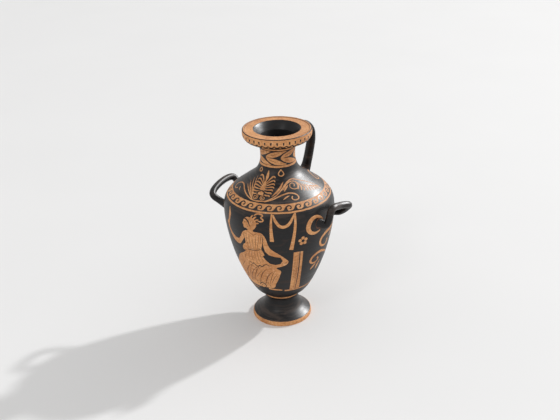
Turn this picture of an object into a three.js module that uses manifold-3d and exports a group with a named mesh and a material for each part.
// A red-figure hydria: a wheel-thrown water jar of fired clay with a disc foot, a high round
// shoulder, a narrow neck, a broad flat rim, two upturned side handles and one upright back handle.
// Millimetres, +Z up. The origin is where the jar's axis meets the ground, and the front faces -Y.

import * as THREE from 'three';
import { mergeVertices } from 'three/addons/utils/BufferGeometryUtils.js';
import Module from 'manifold-3d';

// Driving sizes
const HEIGHT = 310;
const RIM_RADIUS = 50.8;
const MOUTH_RADIUS = 34.2;
const WALL = 4.6;
const FOOT_RADIUS = 45.8;
const RESTING_RING_INNER = 37;
const RESTING_RING_OUTER = 45;
const FOOT_EDGE_HEIGHT = 7.5;
const FILLET_RADIUS = 28.8;
const FILLET_HEIGHT = 41;
const RIM_FACE_BOTTOM = 302.4;
const RIM_LIP_WIDTH = 3.4;
const HANDLED_BELLY_RADIUS = 81.8;
const SIDE_HANDLE_THICKNESS = 10.6;
const LOOP_LEAN = 0.8; // how far a side handle's loop leans out of the level, as a slope
const BACK_HANDLE_THICKNESS = 9;
const BACK_HANDLE_HALF_WIDTH = 8.4;

// How finely the round forms are faceted
const AROUND = 56;
const BODY_STEPS = 24;
const INSIDE_STEPS = 13;
const FOOT_STEPS = 6;
const RIM_STEPS = 5;
const THROAT_STEPS = 6;
const BAR_STEPS = 24;
const BAR_SIDES = 10;

// Outer outline from the fillet over the belly and shoulder to the top of the neck: radius, height
const BODY_OUTLINE = [
  [28.6, 42], [43.2, 55], [60, 88], [73, 126], [81.4, 168], [81.9, 199],
  [72.6, 215.6], [53, 231], [34.5, 245], [27, 258.5], [25.4, 272], [26.6, 284],
];

// Hollow under the foot, from the axis out to the resting ring
const FOOT_HOLLOW = [[0, 30], [14, 27], [27, 14], [36, 1.2]];

// Upper side of the foot, from its edge in to the stem under the fillet
const FOOT_OUTLINE = [[44.2, 7.5], [38.4, 11.6], [31.2, 18], [26.4, 27], [25.7, 34.5], [27.8, 39.4]];

// Under the rim, from the top of the neck out to the rim's edge
const RIM_UNDERSIDE = [[26.6, 284], [30.5, 288.8], [38, 292], [46.6, 295.6], [50.2, 300.6]];

// Inside of the neck and mouth, from the shoulder up to the rim
const THROAT_OUTLINE = [[22.6, 258], [20.8, 272], [21.6, 286], [25.4, 296], [30.6, 304.6], [34.2, 309.4]];

// Middle line of the back handle, from the shoulder up to the rim: distance out, height
const BACK_HANDLE_LINE = [
  [53, 222], [62, 226], [68.4, 239], [74, 256], [77.6, 272],
  [76.2, 286], [68, 296.4], [56, 301.2], [46, 302],
];

const CLAY_BLACK = { color: 0x1f1d20, roughness: 0.28, metalness: 0 };

function outlinePoints(list) {
  return list.map(([radius, height]) => new THREE.Vector2(radius, height));
}

function splinePoints(knots, steps) {
  return new THREE.SplineCurve(outlinePoints(knots)).getPoints(steps);
}

// Moves an outline inwards by the wall's thickness, square to the outline
function offsetInwards(points, thickness) {
  return points.map((point, index) => {
    const before = points[Math.max(index - 1, 0)];
    const after = points[Math.min(index + 1, points.length - 1)];
    const along = after.clone().sub(before).normalize();
    return new THREE.Vector2(point.x - along.y * thickness, point.y + along.x * thickness);
  });
}

function footEdge() {
  return outlinePoints([
    [RESTING_RING_INNER, 0],
    [RESTING_RING_OUTER, 0],
    [FOOT_RADIUS, FOOT_EDGE_HEIGHT / 3],
    [FOOT_RADIUS - 0.4, FOOT_EDGE_HEIGHT - 2],
  ]);
}

function fillet() {
  return outlinePoints([[FILLET_RADIUS, FILLET_HEIGHT - 0.8], [FILLET_RADIUS + 0.3, FILLET_HEIGHT]]);
}

// The rim's upright face, its rounded edge and the shallow step inside its lip
function rimTop() {
  return outlinePoints([
    [RIM_RADIUS, RIM_FACE_BOTTOM],
    [RIM_RADIUS, HEIGHT - 1.2],
    [RIM_RADIUS - 0.8, HEIGHT],
    [RIM_RADIUS - RIM_LIP_WIDTH, HEIGHT],
    [RIM_RADIUS - RIM_LIP_WIDTH - 0.6, HEIGHT - 0.7],
    [MOUTH_RADIUS + 1.6, HEIGHT - 0.4],
  ]);
}

// The outside of the jar, as if it were solid clay
function outsideOutline() {
  return [
    ...outlinePoints(FOOT_HOLLOW),
    ...footEdge(),
    ...splinePoints(FOOT_OUTLINE, FOOT_STEPS),
    ...fillet(),
    ...splinePoints(BODY_OUTLINE, BODY_STEPS),
    ...splinePoints(RIM_UNDERSIDE, RIM_STEPS).slice(1),
    ...rimTop(),
    new THREE.Vector2(0, HEIGHT - 0.4),
  ];
}

// The space inside follows the outside one wall in, from the floor over the stem to the
// shoulder, and goes on up the throat and out of the mouth
function insideOutline() {
  const floor = FILLET_HEIGHT + WALL - 1;
  const shoulder = THROAT_OUTLINE[0][1] - 4;
  const wall = offsetInwards(splinePoints(BODY_OUTLINE, INSIDE_STEPS * 6), WALL);
  const kept = wall.filter((point) => point.y > floor + 2 && point.y < shoulder);
  const spacing = (kept.length - 1) / INSIDE_STEPS;
  return [
    new THREE.Vector2(0, floor),
    ...Array.from({ length: INSIDE_STEPS + 1 }, (_, index) => kept[Math.round(index * spacing)]),
    ...splinePoints(THROAT_OUTLINE, THROAT_STEPS),
    new THREE.Vector2(MOUTH_RADIUS + 1.6, HEIGHT + 1),
    new THREE.Vector2(0, HEIGHT + 1),
  ];
}

function turned(outline) {
  const geometry = new THREE.LatheGeometry(outline, AROUND);
  geometry.rotateX(Math.PI / 2);
  return geometry;
}

// A bar swept along a curve. Its oval section may change along the way, and its wide side
// stays square to the given direction. Both ends are closed.
function sweptBar(curve, wideDirection, halfWidthAt, halfThicknessAt) {
  const positions = [];
  const faces = [];
  for (let step = 0; step <= BAR_STEPS; step += 1) {
    const t = step / BAR_STEPS;
    const centre = curve.getPointAt(t);
    const along = curve.getTangentAt(t);
    const wide = wideDirection.clone().addScaledVector(along, -wideDirection.dot(along)).normalize();
    const thick = new THREE.Vector3().crossVectors(along, wide);
    for (let side = 0; side < BAR_SIDES; side += 1) {
      const turn = (2 * Math.PI * side) / BAR_SIDES;
      const point = centre.clone()
        .addScaledVector(wide, Math.cos(turn) * halfWidthAt(t))
        .addScaledVector(thick, Math.sin(turn) * halfThicknessAt(t));
      positions.push(point.x, point.y, point.z);
    }
  }
  for (let step = 0; step < BAR_STEPS; step += 1) {
    for (let side = 0; side < BAR_SIDES; side += 1) {
      const next = (side + 1) % BAR_SIDES;
      const a = step * BAR_SIDES + side;
      const b = step * BAR_SIDES + next;
      faces.push(a, b, b + BAR_SIDES, a, b + BAR_SIDES, a + BAR_SIDES);
    }
  }
  const last = BAR_STEPS * BAR_SIDES;
  for (let side = 1; side < BAR_SIDES - 1; side += 1) {
    faces.push(0, side + 1, side);
    faces.push(last, last + side, last + side + 1);
  }
  const geometry = new THREE.BufferGeometry();
  geometry.setAttribute('position', new THREE.Float32BufferAttribute(positions, 3));
  geometry.setIndex(faces);
  return geometry;
}

// Directions on the jar at an angle from the front, turning towards +X
function outwardAt(degrees) {
  const angle = THREE.MathUtils.degToRad(degrees);
  return new THREE.Vector3(Math.sin(angle), -Math.cos(angle), 0);
}

function sidewaysAt(degrees) {
  const angle = THREE.MathUtils.degToRad(degrees);
  return new THREE.Vector3(Math.cos(angle), Math.sin(angle), 0);
}

// Thicker where a handle is pressed on to the wall, at both ends of its bar
function flareAtEnds(t, length, amount) {
  const fromEnd = Math.min(t, 1 - t);
  const closeness = Math.max(1 - fromEnd / length, 0);
  return 1 + amount * closeness * closeness;
}

// One upturned side handle. Its loop leaves the wall at two roots, bends at two elbows, rises to
// two corners and closes in a bow, each placed by how far it lies across, out and up from the
// middle of the roots. Roll tips the loop sideways, as the hand-set handles are.
function sideHandle({ angle, reach, rootHeight, roll, rootSpread, bends }) {
  const outward = outwardAt(angle);
  const sideways = sidewaysAt(angle);
  const rootOut = Math.sqrt(HANDLED_BELLY_RADIUS ** 2 - rootSpread ** 2);
  const furthestOut = Math.max(...bends.map(([, out]) => out));
  const stretch = (reach - SIDE_HANDLE_THICKNESS / 2 - rootOut) / furthestOut;
  const tilt = THREE.MathUtils.degToRad(roll);
  const place = ([across, out, up]) => new THREE.Vector3()
    .addScaledVector(outward, rootOut + out * (out > 0 ? stretch : 1))
    .addScaledVector(sideways, across * Math.cos(tilt) - up * Math.sin(tilt))
    .setZ(rootHeight + across * Math.sin(tilt) + up * Math.cos(tilt));
  const firstRoot = [[-rootSpread, -6, 0], [-rootSpread, 0, 0]];
  const lastRoot = [[rootSpread, 0, 0], [rootSpread, -6, 0]];
  const path = new THREE.CatmullRomCurve3([...firstRoot, ...bends, ...lastRoot].map(place));
  const acrossLoop = new THREE.Vector3(0, 0, 1).addScaledVector(outward, -LOOP_LEAN);
  const radiusAt = (t) => (SIDE_HANDLE_THICKNESS / 2) * flareAtEnds(t, 0.16, 0.55);
  return sweptBar(path, acrossLoop, radiusAt, radiusAt);
}

// The upright handle behind, a strap from the shoulder to the edge of the rim
function backHandle(angle) {
  const outward = outwardAt(angle);
  const place = ([out, up]) => outward.clone().multiplyScalar(out).setZ(up);
  const path = new THREE.CatmullRomCurve3(BACK_HANDLE_LINE.map(place));
  const halfWidthAt = (t) => BACK_HANDLE_HALF_WIDTH + 4 * Math.max(1 - t / 0.22, 0) ** 2 - 1.2 * t;
  const halfThicknessAt = (t) => (BACK_HANDLE_THICKNESS / 2) * flareAtEnds(t, 0.14, 0.4);
  return sweptBar(path, sidewaysAt(angle), halfWidthAt, halfThicknessAt);
}

const RIGHT_HANDLE = {
  angle: 92.5,
  reach: 110.2,
  rootHeight: 181.2,
  roll: -7,
  rootSpread: 29.5,
  bends: [[-28.5, 10, -1.4], [-27.5, 16.5, 22.7], [-6.6, 19.8, 22.5], [14, 26, 18.5], [28.5, 9, 1]],
};

const LEFT_HANDLE = {
  angle: -93.5,
  reach: 109.22,
  rootHeight: 187,
  roll: -6.8,
  rootSpread: 28.6,
  bends: [[-27.6, 9.5, 3.2], [-28.8, 19, 12.6], [0, 22.8, 17], [28.8, 19, 12.6], [27.6, 9.5, 3.2]],
};

const BACK_HANDLE_ANGLE = 166;

function solidFrom(geometry, wasm) {
  const bare = geometry.clone();
  bare.deleteAttribute('normal');
  bare.deleteAttribute('uv');
  const merged = mergeVertices(bare, 1e-4);
  return new wasm.Manifold(new wasm.Mesh({
    numProp: 3,
    vertProperties: new Float32Array(merged.attributes.position.array),
    triVerts: new Uint32Array(merged.index.array),
  }));
}

function geometryFrom(solid) {
  const mesh = solid.getMesh();
  const geometry = new THREE.BufferGeometry();
  geometry.setAttribute('position', new THREE.BufferAttribute(new Float32Array(mesh.vertProperties), 3));
  geometry.setIndex(new THREE.BufferAttribute(new Uint32Array(mesh.triVerts), 1));
  geometry.computeVertexNormals();
  return geometry;
}

// The handles are pressed on to the jar and fired with it, so all of it is one solid. The space
// inside is cut last, so no handle's end shows through the wall.
async function hydria() {
  const wasm = await Module();
  wasm.setup();
  const outside = solidFrom(turned(outsideOutline()), wasm);
  const handles = [sideHandle(RIGHT_HANDLE), sideHandle(LEFT_HANDLE), backHandle(BACK_HANDLE_ANGLE)];
  const filled = handles.reduce((joined, handle) => joined.add(solidFrom(handle, wasm)), outside);
  const jar = filled.subtract(solidFrom(turned(insideOutline()), wasm));
  const mesh = new THREE.Mesh(geometryFrom(jar), new THREE.MeshStandardMaterial(CLAY_BLACK));
  mesh.name = 'hydria';
  return mesh;
}

const group = new THREE.Group();
group.add(await hydria());

export default group;
